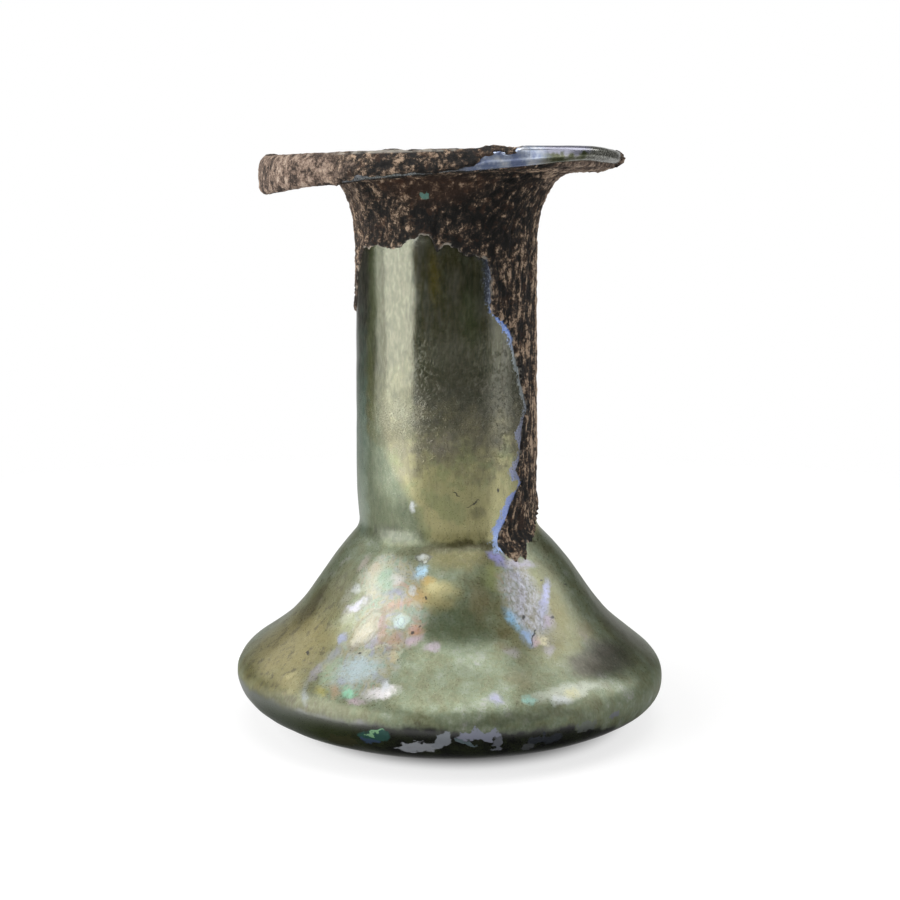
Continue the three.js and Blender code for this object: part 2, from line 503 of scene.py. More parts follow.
# Single spots of the film, and painted highlights, glints and shade where marked: degrees round, height,
# half size, tilt, how strongly, and the colour
FILM_SPOTS = (
    (-127, 13.9, (2.8, 1.8), -70, 0.6, tone(182, 206, 160)),
    (-119, 14.6, (3.6, 2.8), 25, 0.9, tone(212, 236, 242)),
    (-130, 15.6, (1.6, 0.9), 81, 0.7, tone(152, 158, 164)),
    (-132, 13.2, (1.9, 0.9), -88, 0.7, tone(160, 156, 170)),
    (-131, 11.1, (2.2, 0.7), -52, 0.45, tone(150, 160, 172)),
    (-126, 11.7, (1.3, 0.9), -13, 0.7, tone(190, 182, 96)),
    (-122, 11.9, (1.2, 0.8), -58, 0.55, tone(206, 164, 122)),
    (-115, 11.3, (1.5, 0.6), 7, 0.7, tone(206, 184, 196)),
    (-118, 12.0, (1.2, 1.0), -15, 0.85, tone(164, 244, 204)),
    # Painted highlights: these two are white on the belly's turn, where the top light is reflected.
    (-109, 12.4, (2.6, 1.2), 20, 0.9, tone(250, 246, 248)),
    (-108, 13.3, (1.1, 0.8), -65, 0.85, tone(226, 232, 240)),
    (-109, 16.5, (1.0, 0.8), -51, 0.7, tone(214, 196, 146)),
    # Painted glint: a cream-white fleck low on the left of the belly.
    (-140, 12.3, (1.3, 0.7), 44, 0.6, tone(206, 196, 140)),
    (-131, 17.7, (1.0, 0.8), -55, 0.7, tone(146, 156, 200)),
    (-126, 25.6, (4.0, 3.0), 0, 0.4, tone(186, 190, 164)),
    (-122, 19.4, (3.9, 1.9), 62, 0.6, tone(176, 168, 134)),
    (-123, 18.8, (2.6, 1.4), 62, 0.75, tone(210, 202, 174)),
    (-116, 19.8, (0.7, 3.3), 9, 0.65, tone(172, 118, 90)),
    (-112, 23.0, (2.1, 0.8), 20, 0.6, tone(204, 144, 112)),
    (-114, 22.2, (1.3, 0.4), 43, 0.5, tone(134, 96, 80)),
    (-110, 18.5, (1.6, 1.3), 0, 0.75, tone(180, 132, 96)),
    (-109, 21.0, (1.3, 1.2), 0, 0.95, tone(206, 234, 228)),
    (-103, 19.9, (1.1, 1.0), 0, 0.65, tone(212, 132, 84)),
    (-103, 18.6, (1.3, 0.8), 35, 0.6, tone(208, 172, 194)),
    (-96, 18.0, (1.2, 0.7), 10, 0.5, tone(198, 176, 206)),
    (-104, 24.1, (1.8, 1.5), 0, 0.6, tone(206, 160, 88)),
    (-101, 26.2, (1.2, 1.0), 0, 0.65, tone(200, 160, 66)),
    (-106, 24.8, (0.8, 0.7), 0, 0.85, PALE),
    (-105, 23.1, (0.7, 0.6), 0, 0.7, tone(204, 198, 166)),
    (-104, 27.3, (1.5, 1.0), 75, 0.95, tone(186, 226, 250)),
    (-104, 29.2, (1.1, 0.7), 0, 0.85, PALE),
    (-116, 24.4, (1.7, 0.8), 15, 0.85, tone(106, 112, 142)),
    (-121, 26.0, (1.6, 2.6), 20, 0.7, tone(116, 164, 128)),
    (-129, 27.2, (1.2, 1.2), 0, 0.55, tone(198, 178, 148)),
    (-115, 26.2, (1.5, 0.8), 0, 0.8, tone(216, 212, 206)),
    (-135, 24.1, (0.9, 0.7), 0, 0.8, PALE),
    # Painted glints: these two are silvery flecks on the upper left of the body.
    (-138, 23.0, (2.1, 1.2), 87, 0.5, tone(180, 180, 164)),
    (-134, 20.6, (1.6, 1.2), 76, 0.5, tone(176, 178, 160)),
    (-139, 27.3, (1.6, 0.9), 72, 0.6, tone(196, 184, 176)),
    (-131, 22.0, (2.2, 0.8), 40, 0.85, tone(190, 188, 204)),
    (-56, 22.6, (3.2, 6.0), 10, 0.6, tone(190, 192, 200)),
    (-67, 27.5, (1.4, 1.1), -55, 0.6, tone(162, 168, 98)),
    (-53, 27.8, (3.3, 0.7), -9, 0.8, tone(184, 178, 204)),
    (-64, 29.0, (1.6, 1.0), -47, 0.95, tone(160, 160, 226)),
    (-57, 26.3, (2.0, 0.8), -66, 0.8, tone(184, 184, 220)),
    (-48, 25.4, (1.4, 1.3), 67, 0.5, tone(174, 178, 130)),
    (-58, 23.4, (2.6, 0.8), 66, 0.75, tone(170, 164, 186)),
    (-52, 23.4, (1.7, 1.0), 44, 0.7, tone(220, 216, 198)),
    (-45, 23.3, (2.8, 0.8), 45, 0.9, tone(184, 190, 236)),
    (-51, 21.2, (1.9, 0.8), 54, 0.95, tone(192, 198, 242)),
    (-50, 19.9, (1.3, 0.9), 25, 0.85, tone(206, 192, 218)),
    (-56, 20.9, (1.4, 1.0), 44, 0.6, tone(166, 154, 122)),
    (-65, 20.9, (1.9, 1.1), -63, 0.98, SKY),
    (-61, 18.4, (1.6, 1.1), -85, 0.98, tone(180, 212, 255)),
    # Painted glints: these two are thin white strokes in the flecked patch on the right.
    (-55, 25.0, (1.3, 0.35), -60, 0.8, tone(236, 238, 250)),
    (-61, 22.3, (1.5, 0.35), 70, 0.8, tone(222, 226, 246)),
    (-56, 17.8, (1.2, 1.0), 0, 0.9, tone(240, 232, 196)),
    (-59, 17.7, (1.0, 0.7), 50, 0.7, tone(222, 190, 196)),
    (-69, 17.0, (1.3, 0.9), -25, 0.6, tone(176, 170, 176)),
    (-55, 16.6, (1.3, 0.9), 29, 0.6, tone(184, 178, 194)),
    (-70, 19.3, (1.2, 0.9), 0, 0.7, tone(98, 88, 32)),
    (-72, 17.8, (1.3, 0.9), -10, 0.7, tone(96, 86, 32)),
    (-78, 11.8, (1.1, 0.8), -55, 0.75, tone(160, 160, 196)),
    (-69, 11.4, (1.2, 0.7), 0, 0.75, tone(144, 200, 190)),
    # Painted highlights: these two are white and cream on the pale band of the belly's turn.
    (-60, 10.9, (1.7, 0.8), 0, 0.85, PALE),
    (-56, 11.4, (1.3, 0.9), 0, 0.6, tone(208, 202, 150)),
    # Painted highlight: cream on the belly's turn, low on the left.
    (-137, 11.4, (2.8, 1.5), 0, 0.45, tone(196, 184, 130)),
    (-163, 15.4, (0.6, 1.5), 10, 0.6, UMBER),
    (-157, 16.4, (0.6, 1.1), -10, 0.6, UMBER),
    (-158, 21.8, (1.0, 2.6), 10, 0.55, UMBER),
    # Painted shade in the crease at the neck's foot, in a yellow-olive hue.
    (-78, 30.9, (9.0, 1.0), 0, 0.97, tone(70, 66, 2)),
    (-97, 71.5, (0.9, 4.4), 0, 0.8, tone(88, 80, 10)),
    (-85, 69.5, (1.0, 3.2), 2, 0.6, tone(84, 84, 74)),
    (-75, 65.3, (1.8, 4.6), 2, 0.6, tone(64, 78, 40)),
    (-70, 69.0, (1.0, 4.5), 0, 0.6, tone(34, 44, 16)),
    (-88, 59.4, (3.2, 6.0), 5, 0.5, tone(84, 84, 72)),
    (-57, 61.2, (0.9, 4.2), 0, 0.7, tone(66, 68, 38)),
    # Painted shade: a dark streak over the left part of the neck's lit band.
    (-138, 57.0, (1.4, 7.0), 0, 0.5, tone(40, 46, 24)),
    # Painted shade: darker over the crease at the neck's foot on the left, against a softbox's reflection
    # there.
    (-127, 32.0, (5.0, 1.3), 0, 0.75, tone(52, 60, 42)),
    (-92, 46.2, (2.6, 2.0), 32, 0.5, tone(116, 108, 106)),
    (-74, 48.2, (2.2, 3.3), 9, 0.4, tone(108, 102, 82)),
    (-111, 36.8, (0.6, 0.9), 0, 0.95, PALE),
    (-70, 35.9, (1.5, 0.9), 0, 0.5, tone(84, 84, 56)),
    (48, 19.0, (1.6, 2.2), 20, 0.6, tone(150, 166, 204)),
    (66, 15.0, (2.4, 1.6), 0, 0.6, PALE),
    (126, 24.0, (1.0, 2.6), -15, 0.6, LAVENDER),
    (136, 18.5, (2.0, 1.4), 0, 0.5, MINT),
)
# Flakes of film left on the worn dark underside, listed as the spots are
UNDERSIDE_FLAKES = (
    (-109, 6.8, (2.5, 1.0), 5, 0.95, tone(28, 84, 74)),
    (-110, 5.9, (1.7, 0.6), 5, 0.9, tone(48, 74, 104)),
    (-109, 7.4, (1.6, 0.25), 8, 0.9, tone(136, 184, 136)),
    (-119, 4.9, (3.0, 1.6), 20, 0.8, tone(62, 62, 12)),
    (-98, 5.3, (3.6, 1.3), 12, 0.95, tone(164, 168, 174)),
    (-92, 6.6, (1.8, 0.8), 55, 0.9, tone(146, 152, 160)),
    (-83, 7.5, (3.4, 0.8), 0, 0.9, tone(146, 150, 168)),
    (-78, 6.0, (0.7, 1.4), 0, 0.85, tone(116, 120, 130)),
    (-86, 6.3, (1.9, 0.5), -20, 0.85, tone(104, 124, 130)),
    (-66, 5.8, (2.7, 1.0), 0, 0.7, tone(50, 58, 72)),
    (-70, 4.9, (0.9, 1.2), 0, 0.7, tone(92, 96, 98)),
    (-54, 6.8, (2.0, 0.8), 0, 0.7, tone(110, 116, 112)),
    (-44, 7.3, (1.6, 0.6), -15, 0.7, tone(108, 108, 126)),
    (20, 6.4, (4.0, 1.0), 0, 0.8, tone(110, 114, 118)),
    (75, 5.6, (5.0, 1.3), 0, 0.8, tone(96, 104, 108)),
    (140, 6.6, (4.0, 1.0), 0, 0.8, tone(128, 132, 136)),
    (-170, 6.0, (3.0, 1.0), 0, 0.7, tone(84, 92, 92)),
)
# Outlines round some spots, and small holes in the film, listed as the spots are
FILM_RINGS = (
    (-122, 19.4, (3.9, 1.9), 62, 0.5, tone(122, 112, 80)),
    (-123, 18.8, (2.7, 1.3), 62, 0.4, tone(134, 126, 98)),
    (-131, 22.0, (2.3, 1.0), 40, 0.4, tone(104, 100, 84)),
    (-109, 21.0, (0.65, 0.55), 0, 0.5, tone(128, 136, 160)),
    (-109, 21.0, (1.6, 1.45), 0, 0.5, tone(128, 138, 100)),
    (-106, 24.8, (1.05, 0.95), 0, 0.5, tone(172, 142, 76)),
    (-110, 18.4, (1.9, 1.6), 0, 0.45, tone(134, 116, 74)),
    (-113, 16.9, (3.0, 1.0), 15, 0.45, tone(196, 200, 170)),
    (-104, 29.2, (1.2, 0.85), 0, 0.6, tone(70, 66, 62)),
)
FILM_HOLES = (
    (-60, 21.0, (0.5, 0.35), 20),
    (-59, 18.4, (1.9, 0.1), 55),
    (-84, 38.9, (0.9, 0.09), -28),
    (-73, 37.3, (1.2, 0.08), 24),
    (-141, 14.9, (0.4, 0.3), -15),
    (-47, 20.3, (0.35, 0.28), 0),
    (-44, 25.2, (0.3, 0.2), 8),
    (-28, 23.8, (0.5, 0.2), -5),
    (-56, 39.2, (0.22, 0.42), -30),
    (-100, 24.0, (0.2, 0.2), 0),
    (-102, 20.4, (0.22, 0.22), 0),
    (-104, 19.7, (0.28, 0.22), 0),
    (-107, 16.2, (0.22, 0.2), 0),
    (-121, 16.6, (0.3, 0.2), 0),
)


def neck_colour(finish, across, height, mottle, brushed):
    """Dark olive at the top, khaki at the foot, and green-grey on the left, with a painted highlight and a
    painted glow on the lit left side, and painted shade at the left edge.
    """
    level = height * RAMP_SCALE + (mottle - 0.5) * 0.24
    # Painted shade: on the lit left side the ramp runs a little darker, to tone down the softbox's
    # reflection there.
    front = finish.ramp(
        level + finish.rise(across, -3, -8) * 0.02,
        (0.34, tone(188, 182, 126)),
        (0.41, tone(172, 168, 116)),
        (0.47, tone(112, 108, 80)),
        (0.53, tone(78, 78, 62)),
        (0.62, tone(56, 62, 36)),
        (0.76, tone(36, 42, 14)),
    )
    stripes = finish.ramp(
        brushed,
        (0.42, tone(30, 38, 14)),
        (0.5, tone(58, 56, 14)),
        (0.6, tone(70, 72, 62)),
    )
    front = finish.mix(finish.rise(height, 52, 66) * 0.7, front, stripes)
    # Painted highlight: a lighter band on the lit left of the neck, fading in from height 42 to 56 upwards,
    # where a softbox is reflected.
    painted_highlight = finish.ramp(level, (0.44, tone(116, 116, 80)), (0.6, tone(78, 80, 54)), (0.74, tone(72, 76, 50)))
    painted_highlight_side = finish.rise(across + (mottle - 0.5) * 1.5, -5.0, -6.0)
    front = finish.mix(painted_highlight_side * finish.rise(height, 42, 56), front, painted_highlight)
    side = finish.ramp(
        level,
        (0.34, tone(98, 110, 78)),
        (0.44, tone(94, 108, 82)),
        (0.52, tone(92, 96, 52)),
        (0.62, tone(70, 80, 42)),
        (0.74, tone(64, 76, 40)),
    )
    # Painted shade: the neck's left edge, where the wall turns away, goes from green-grey low down to near
    # black at the top.
    edge = finish.ramp(
        level,
        (0.38, tone(122, 138, 118)),
        (0.5, tone(80, 104, 88)),
        (0.66, tone(12, 18, 14)),
    )
    edge_start = across + (mottle - 0.5) * 2.0 - finish.rise(height, 56, 68) * 0.5
    side = finish.mix(finish.rise(edge_start, -12.2, -13.3), side, edge)
    turning = across - finish.rise(height, 50, 30) * 7.5 + (mottle - 0.5) * 2.2
    # Painted highlight: a soft pale glow beside the lit band, which curves towards the front lower down.
    painted_glow = finish.rise(turning, -10.9, -9.6) * finish.rise(turning, -6.4, -9.4)
    painted_glow = painted_glow * finish.rise(height, 54, 46)
    front = finish.mix(painted_glow * 0.15, front, tone(172, 166, 122))
    greened = finish.rise(finish.noise(0.3, 4, 0.6, move=(5, 5, 1)), 0.47, 0.6)
    greened = greened * finish.rise(height, 50, 42)
    front = finish.mix(greened * 0.5, front, tone(134, 148, 96))
    return finish.mix(finish.rise(turning, -9.6, -12.2), front, side)


def pearl_colour(finish):
    """The colours of an oil film, in soft bands that wander."""
    bands = finish.noise(0.25, 3, 0.5, move=(2, 5, 3), warp=1.8)
    soft = finish.ramp(
        bands,
        (0.32, LAVENDER),
        (0.41, SILVER),
        (0.48, CREAM),
        (0.54, tone(160, 164, 128)),
        (0.6, MINT),
        (0.68, ROSE),
    )
    streaks = finish.noise(0.55, 4, 0.6, move=(4, 1, 8), warp=2.0)
    return finish.mix(finish.rise(streaks, 0.48, 0.64) * 0.45, soft, tone(196, 198, 184))


def rim_colour(finish, across, height, mottle, grain):
    """Grey and blue film at the front, olive and lilac further round, and grey lime at the thin end."""
    grey = finish.ramp(grain, (0.4, tone(96, 100, 104)), (0.6, tone(176, 180, 184)))
    blue = finish.ramp(
        mottle,
        (0.4, tone(136, 150, 188)),
        (0.5, tone(184, 196, 218)),
        (0.6, tone(226, 230, 238)),
    )
    olive = finish.ramp(
        mottle,
        (0.4, tone(64, 72, 38)),
        (0.5, tone(98, 102, 66)),
        (0.62, tone(150, 150, 140)),
    )
    upper = height - across * RIM_SLOPE + (mottle - 0.5) * 3
    olive = finish.mix(finish.rise(upper, 88.6, 89.2) * 0.8, olive, tone(166, 166, 190))
    lime = finish.ramp(
        grain,
        (0.36, tone(58, 60, 52)),
        (0.5, tone(120, 120, 110)),
        (0.64, tone(196, 196, 188)),
    )
    colour = finish.mix(finish.rise(across, 0.5, 3.5), grey, blue)
    colour = finish.mix(finish.rise(across + (mottle - 0.5) * 5, 12.0, 14.5), colour, olive)
    return finish.mix(finish.rise(across + (mottle - 0.5) * 6, 19, 21), colour, lime)


def weathered_glass():
    """Olive glass under a silvery film: pearly in patches, blue beside the crust, worn off below and
    painted near black there as shade; some tints and spots are painted highlights, glints and shade.
    """
    finish = Finish("weathered_glass", IOR=1.9, Transmission_Weight=0.25)
    across, _, height = finish.apart(finish.place())
    adrift = finish.astray(0.35, 1.8)
    ragged = finish.astray(0.7, 0.9)
    torn = finish.astray(0.8, 1.5)
    broad = finish.noise(0.09, 3, 0.6)
    mottle = finish.noise(0.4, 5, 0.62, move=(11, 4, 7))
    brushed = finish.noise(0.6, 5, 0.65, stretch=(1, 1, 0.16))
    grain = finish.noise(3.2, 4, 0.7, move=(3, 9, 1))

    colour = finish.ramp(
        mottle * 0.5 + broad * 0.25 + grain * 0.25,
        (0.39, tone(84, 88, 46)),
        (0.46, tone(108, 116, 80)),
        (0.52, tone(112, 126, 95)),
        (0.58, tone(130, 142, 118)),
        (0.65, tone(160, 160, 158)),
    )
    for angle, level, size, strength, tint in TINTED_AREAS:
        here = nearness(finish, adrift, angle, level, size)
        colour = finish.mix(finish.rise(here, 0.13, 0.8) * strength, colour, tint)
    on_neck = finish.rise(height + (mottle - 0.5) * 3, 30.2, 32.0)
    colour = finish.mix(on_neck, colour, neck_colour(finish, across, height, mottle, brushed))
    worn = finish.rise(finish.noise(1.0, 5, 0.7, stretch=(1, 1, 0.3), move=(1, 3, 5)), 0.53, 0.62)
    worn = worn * (0.2 + finish.rise(across, -12, -20) * 0.45)
    colour = finish.mix(worn, colour, UMBER)

    pearly = 0.0
    for angle, level, size, strength in PEARLY_AREAS:
        here = nearness(finish, adrift, angle, level, size)
        pearly = finish.rise(here, 0.23, 0.6) * strength + pearly
    pearly = finish.rise(pearly, 0, 1)
    colour = finish.mix(pearly * 0.8, colour, pearl_colour(finish))

    patchy = 1 + (finish.noise(1.4, 5, 0.7, move=(7, 7, 2)) - 0.5) * 2.4
    for angle, level, size, tilt, strength, spot in FILM_SPOTS:
        here = nearness(finish, ragged, angle, level, size, tilt) * patchy
        colour = finish.mix(finish.rise(here, 0.03, 0.85) * strength, colour, spot)
    streaked = finish.ramp(
        finish.noise(2.0, 5, 0.7, stretch=(1, 1, 0.4), move=(6, 2, 9)),
        (0.36, tone(40, 46, 22)),
        (0.46, tone(92, 94, 58)),
        (0.54, tone(134, 124, 104)),
        (0.64, tone(160, 166, 136)),
    )
    colour = finish.mix(0.17, colour, streaked)
    # Light streaks of the film, on the pearly film and thickest in the flecked patch on the right; their
    # blue-white is partly painted glints.
    veins_and_glints = finish.ramp(
        finish.noise(1.8, 5, 0.7, stretch=(1, 1, 0.4), move=(3, 3, 6), warp=0.6),
        (0.36, tone(80, 76, 46)),
        (0.45, tone(164, 162, 150)),
        (0.54, tone(204, 206, 222)),
        (0.62, tone(240, 244, 255)),
    )
    flecked_and_glinting = finish.rise(nearness(finish, adrift, -57, 23.4, (3.4, 6.0)), 0.2, 0.6)
    colour = finish.mix(pearly * 0.12 + flecked_and_glinting * 0.45, colour, veins_and_glints)
    # Below the belly the film is worn off and the glass is painted near black: bare glass, and painted
    # shade under the belly. It is lighter towards the far left.
    lifted = finish.rise(across, 14, 30) * 3.6 - finish.rise(across, 6, -6) * 0.9
    below = finish.rise(height + (mottle - 0.5) * 2.5 + lifted, 8.3, 7.3)
    dark = finish.ramp(mottle, (0.4, tone(5, 6, 3)), (0.6, tone(26, 32, 10)))
    dark = finish.mix(finish.rise(across, -6, -20) * 0.75, dark, tone(46, 54, 20))
    dark = finish.mix(finish.rise(across, -18, -26) * 0.8, dark, tone(66, 72, 60))
    colour = finish.mix(below, colour, dark)
    flaked = 0.0
    for angle, level, size, tilt, strength, flake in UNDERSIDE_FLAKES:
        inside = finish.rise(nearness(finish, torn, angle, level, size, tilt), 0.3, 0.43) * strength
        colour = finish.mix(inside, colour, flake)
        flaked = inside + flaked
    for angle, level, size, tilt, strength, line in FILM_RINGS:
        here = nearness(finish, ragged, angle, level, size, tilt)
        ring = finish.rise(here, 0.24, 0.33) * finish.rise(here, 0.47, 0.38)
        colour = finish.mix(ring * strength, colour, line)
    for angle, level, size, tilt in FILM_HOLES:
        here = nearness(finish, ragged, angle, level, size, tilt)
        colour = finish.mix(finish.rise(here, 0.2, 0.5) * 0.9, colour, SOOT)

    border = finish.attribute("crust") + (finish.noise(0.35, 4, 0.65) - 0.53) * 5 + (grain - 0.5) * 2.5
    margin = finish.rise(border + finish.rise(height, 39, 34) * 0.5, -1.1, -0.65)
    margin = margin * finish.rise(across, 3.0, 6.5) * finish.rise(height, 29, 30.2)
    margin = margin * (1 - finish.rise(height, 34, 33) * finish.rise(across, 10.4, 11))
    blue = finish.ramp(
        height * RAMP_SCALE,
        (0.305, tone(160, 190, 244)),
        (0.34, tone(104, 134, 214)),
        (0.385, tone(118, 142, 212)),
        (0.42, tone(138, 144, 184)),
        (0.49, tone(142, 148, 176)),
        (0.53, tone(164, 172, 172)),
        (0.595, tone(160, 170, 172)),
        (0.63, tone(92, 132, 212)),
        (0.655, tone(84, 120, 190)),
        (0.68, tone(44, 58, 90)),
    )
    blue = finish.mix(finish.rise(grain, 0.5, 0.66) * 0.45, blue, tone(190, 202, 216))
    colour = finish.mix(margin * 0.85, colour, blue)
    on_rim = finish.rise(height, 83, 84)
    colour = finish.mix(on_rim, colour, rim_colour(finish, across, height, mottle, grain))

    pits = finish.rise(finish.cells(0.5), 0.1, 0.05) * finish.rise(mottle, 0.5, 0.6)
    hammered = finish.rise(finish.noise(1.5, 4, 0.65, move=(4, 4, 4)), 0.5, 0.72) * on_neck
    hammered = hammered * finish.rise(across, -6.5, -3.5)
    hammered = hammered * finish.rise(height, 38, 46) * finish.rise(height, 66, 58)
    scratches = finish.rise(finish.noise(1.8, 2, 0.5, stretch=(1, 1, 0.2), move=(8, 1, 2)), 0.62, 0.7)
    scratches = scratches * (0.06 + on_neck * 0.14 + finish.rise(across, -14, -20) * 0.2)
    colour = finish.mix(pits * 0.15 + scratches, colour, tone(34, 36, 20))

    film = 1 - below * (1 - finish.rise(flaked, 0.2, 0.6))
    polish = finish.rise(height, 44, 62) * on_neck
    rough = 0.3 - polish * 0.12 + (grain - 0.5) * 0.25 + finish.rise(height, 10.8, 9.2) * film * 0.22
    relief = brushed * 0.1 + grain * 0.05 + hammered * 0.4 - pits * 0.08
    return finish.wear(
        Base_Color=colour,
        Metallic=film * (0.45 - pearly * 0.25),
        Roughness=rough,
        Normal=finish.bump(relief, 0.8, 0.12),
    )


def inner_film():
    """The dull earth-stained film on the inside of the wall."""
    finish = Finish("inner_film", Roughness=0.85)
    stain = finish.noise(0.25, 5, 0.6)
    colour = finish.ramp(
        stain,
        (0.35, tone(44, 42, 22)),
        (0.55, tone(74, 70, 38)),
        (0.75, tone(104, 98, 62)),
    )
    return finish.wear(Base_Color=colour)


# Shallow dents and swellings of the body: degrees round, height, width in degrees, height and depth
DENTS = (
    (-86, 18.0, 14, 3.2, 0.4),
    (-99, 23.6, 9, 2.8, -0.16),
    (-36, 14.6, 12, 2.4, 0.3),
    (-70, 24.0, 8, 4.0, 0.16),
    (-125, 19.0, 10, 4.0, 0.2),
    (70, 19.0, 16, 3.6, 0.35),
    (150, 22.0, 12, 4.0, 0.25),
)
HAND_SWELL = ((0.1, 0.14), (0.3, 0.05))  # how fine, and how far the glass swells and dips


def hand_marks(place):
    """How far the glass swells or dips from its turned shape, in millimetres."""
    turn = math.degrees(math.atan2(place.y, place.x))
    marks = sum(reach * noise.noise(place * fineness) for fineness, reach in HAND_SWELL)
    for angle, level, width, tall, depth in DENTS:
        gap = ((turn - angle) / width) ** 2 + ((place.z - level) / tall) ** 2
        marks -= depth * math.exp(-gap)
    return marks * smooth(1, 4, place.z)


OUTER_SPACING = 0.62
PLAIN_SPACING = 2.5
LOWEST_MARGIN = 24.0
FAR_FROM_CRUST = -20.0
CRUST_BED = 1.4  # the glass gives way this many times as far as the crust is sunk
base_outside = sampled(BODY_CURVES[:2], PLAIN_SPACING)
body_outside = base_outside + sampled(BODY_CURVES[2:] + NECK_CURVES, OUTER_SPACING)[1:]
rim_outside = sampled(RIM_CURVES + LIP_CURVES, OUTER_SPACING)[1:]
inside = inner_run(sampled(BODY_CURVES + NECK_CURVES, PLAIN_SPACING))
profile = body_outside + rim_outside + inside
walls = [0.0] * (len(body_outside) + len(rim_outside)) + [1.0] * len(inside)
glass_bm = spun(profile, walls)
wall_layer = glass_bm.verts.layers.float["wall"]
crust_layer = glass_bm.verts.layers.float.new("crust")
for vert in glass_bm.verts:
    outer = vert[wall_layer] < 0.5
    near_crust = outer and vert.co.z > LOWEST_MARGIN
    vert[crust_layer] = crust_depth(vert.co) if near_crust else FAR_FROM_CRUST
    marks = hand_marks(vert.co) - CRUST_BED * sunk(vert[crust_layer]) if outer else 0.0
    vert.co = (as_blown(vert.co) + vert.normal * marks) * MM
for face in glass_bm.faces:
    face.smooth = True
    face.material_index = 1 if all(v[wall_layer] > 0.5 for v in face.verts) else 0

glass_mesh = bpy.data.meshes.new("bottle_glass")
glass_bm.to_mesh(glass_mesh)
glass_bm.free()
glass_mesh.materials.append(weathered_glass())
glass_mesh.materials.append(inner_film())
bottle = bpy.data.objects.new("bottle_glass", glass_mesh)
bpy.context.scene.collection.objects.link(bottle)
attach(bottle, "root")
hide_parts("bottle")


# The burial crust is hard brown earth and lime grown onto the glass: it covers the rim and the flare,
# and runs down one side of the neck. Its ragged edge dips into the glass.
CRUST_SPACING = 0.55
CRUST_SKIRT = -0.9
CRUST_UNDERSIDE = 0.5
THINNEST_CRUST = 0.05
LUMP_HEIGHT = 0.2
LUMP_FINENESS = 0.4
GRAIN_HEIGHT = 0.55
GRAIN_FINENESS = 1.1
EDGE_DIP = 0.28
STRIP_TOP = 73.0  # below this the grains are drawn out along the neck
DRAWN_OUT = 0.3
RIM_FOOT = 85.0  # above this they are finer
FINER = 0.6
FLATTENED = 0.6  # how much flatter the rim's left end and its top are
UNDER_RIM = 88.0

# Where crust hangs thickest: degrees round, width in degrees, radius, reach and how far it stands
HANGING = ((-38, 34, 24.5, 3.2, 0.5), (-8, 22, 25.0, 2.6, 0.5))


def crust_relief(place, depth):
    """How far the crust stands off the glass in millimetres, and how raised that spot is, 0 to 1."""
    turn = math.degrees(math.atan2(place.y, place.x))
    radius = math.hypot(place.x, place.y)
    rising = max(place.z, STRIP_TOP) + DRAWN_OUT * min(place.z - STRIP_TOP, 0)
    rising += FINER * max(place.z - RIM_FOOT, 0)
    grown = Vector((place.x, place.y, rising))
    lumps = 0.5 + 0.5 * noise.noise(grown * LUMP_FINENESS)
    grains = 0.5 + 0.5 * noise.fractal(grown * GRAIN_FINENESS, 0.6, 2.1, 3)
    left_end = smooth(-13, -20, place.x) * smooth(83, 86, place.z)
    even = FLATTENED * max(left_end, smooth(88.2, 89.2, place.z))
    stand = THINNEST_CRUST + (LUMP_HEIGHT * lumps + GRAIN_HEIGHT * grains) * (1 - even)
    if place.z < UNDER_RIM:
        for angle, width, out, reach, height in HANGING:
            gap = ((turn - angle) / width) ** 2 + ((radius - out) / reach) ** 2
            stand += height * math.exp(-gap) * smooth(85.4, 86.3, place.z)
    rise = smooth(-0.25, 0.5, depth)
    return rise * stand - EDGE_DIP * (1 - rise) - sunk(depth), grains


